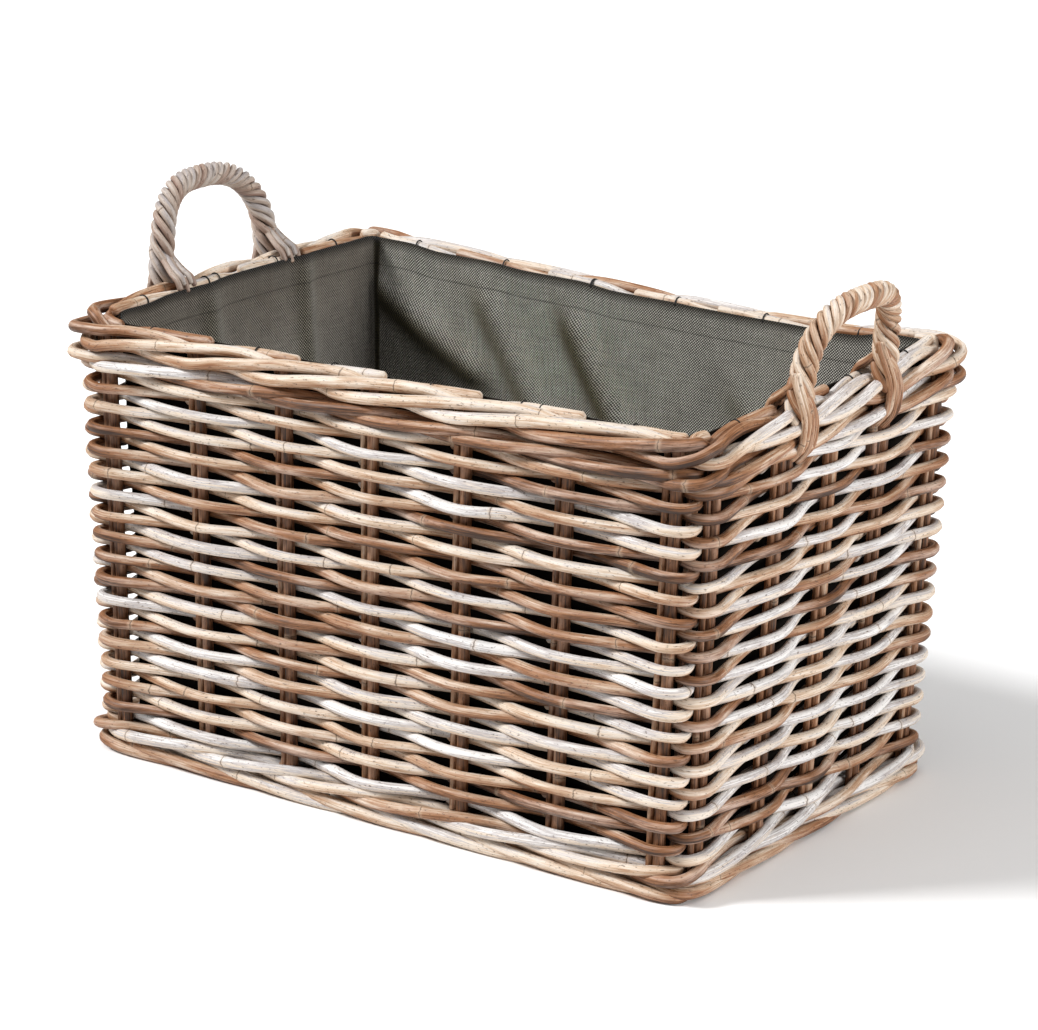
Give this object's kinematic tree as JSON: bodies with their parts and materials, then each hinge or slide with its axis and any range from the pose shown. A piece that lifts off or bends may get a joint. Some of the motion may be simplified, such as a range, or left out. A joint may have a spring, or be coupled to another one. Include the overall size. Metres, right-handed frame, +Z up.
{
  "type": "wicker log basket",
  "caption": "Rectangular woven basket for logs, with flared walls, a rolled rim border, rope handles at both ends and a hanging cloth liner.",
  "frame": {"origin": "centre of the basket's footprint, on the plane that its foot stands on", "axes": "+X along the long side, towards the right-hand handle; +Y to the back; +Z up out of the open top"},
  "size_m": [0.6947, 0.4496, 0.49],
  "materials": {
    "stake_rattan": "weathered brown rod with dark knots",
    "weave_rattan": "weathered rod, tan to pale grey, whitewashed",
    "wale_rattan": "weathered rod, tan to pale grey",
    "border_rattan": "weathered rod, tan to pale grey",
    "foot_rattan": "weathered rod, brown and scuffed",
    "base_rattan": "weathered brown rod",
    "handle_rattan": "smooth tan rods twisted as a rope",
    "liner_cloth": "coarse plain-woven cloth, dark olive grey"
  },
  "bodies": {
    "root": {"back_bottom_wale": "wale_rattan", "back_foot_border": "foot_rattan", "back_rim_border": "border_rattan", "back_stake_1": "stake_rattan", "back_stake_2": "stake_rattan", "back_stake_3": "stake_rattan", "back_stake_4": "stake_rattan", "back_stake_5": "stake_rattan", "back_stake_6": "stake_rattan", "back_stake_7": "stake_rattan", "back_top_wale": "wale_rattan", "back_weave": "weave_rattan", "base_stick_1": "base_rattan", "base_stick_2": "base_rattan", "base_stick_3": "base_rattan", "base_stick_4": "base_rattan", "base_stick_5": "base_rattan", "base_weave": "base_rattan", "front_bottom_wale": "wale_rattan", "front_foot_border": "foot_rattan", "front_rim_border": "border_rattan", "front_stake_1": "stake_rattan", "front_stake_2": "stake_rattan", "front_stake_3": "stake_rattan", "front_stake_4": "stake_rattan", "front_stake_5": "stake_rattan", "front_stake_6": "stake_rattan", "front_stake_7": "stake_rattan", "front_top_wale": "wale_rattan", "front_weave": "weave_rattan", "left_bottom_wale": "wale_rattan", "left_foot_border": "foot_rattan", "left_handle_bow": "handle_rattan", "left_handle_rope": "handle_rattan", "left_rim_border": "border_rattan", "left_stake_1": "stake_rattan", "left_stake_2": "stake_rattan", "left_stake_3": "stake_rattan", "left_stake_4": "stake_rattan", "left_stake_5": "stake_rattan", "left_top_wale": "wale_rattan", "left_weave": "weave_rattan", "liner": "liner_cloth", "right_bottom_wale": "wale_rattan", "right_foot_border": "foot_rattan", "right_handle_bow": "handle_rattan", "right_handle_rope": "handle_rattan", "right_rim_border": "border_rattan", "right_stake_1": "stake_rattan", "right_stake_2": "stake_rattan", "right_stake_3": "stake_rattan", "right_stake_4": "stake_rattan", "right_stake_5": "stake_rattan", "right_top_wale": "wale_rattan", "right_weave": "weave_rattan"}
  },
  "joints": []
}
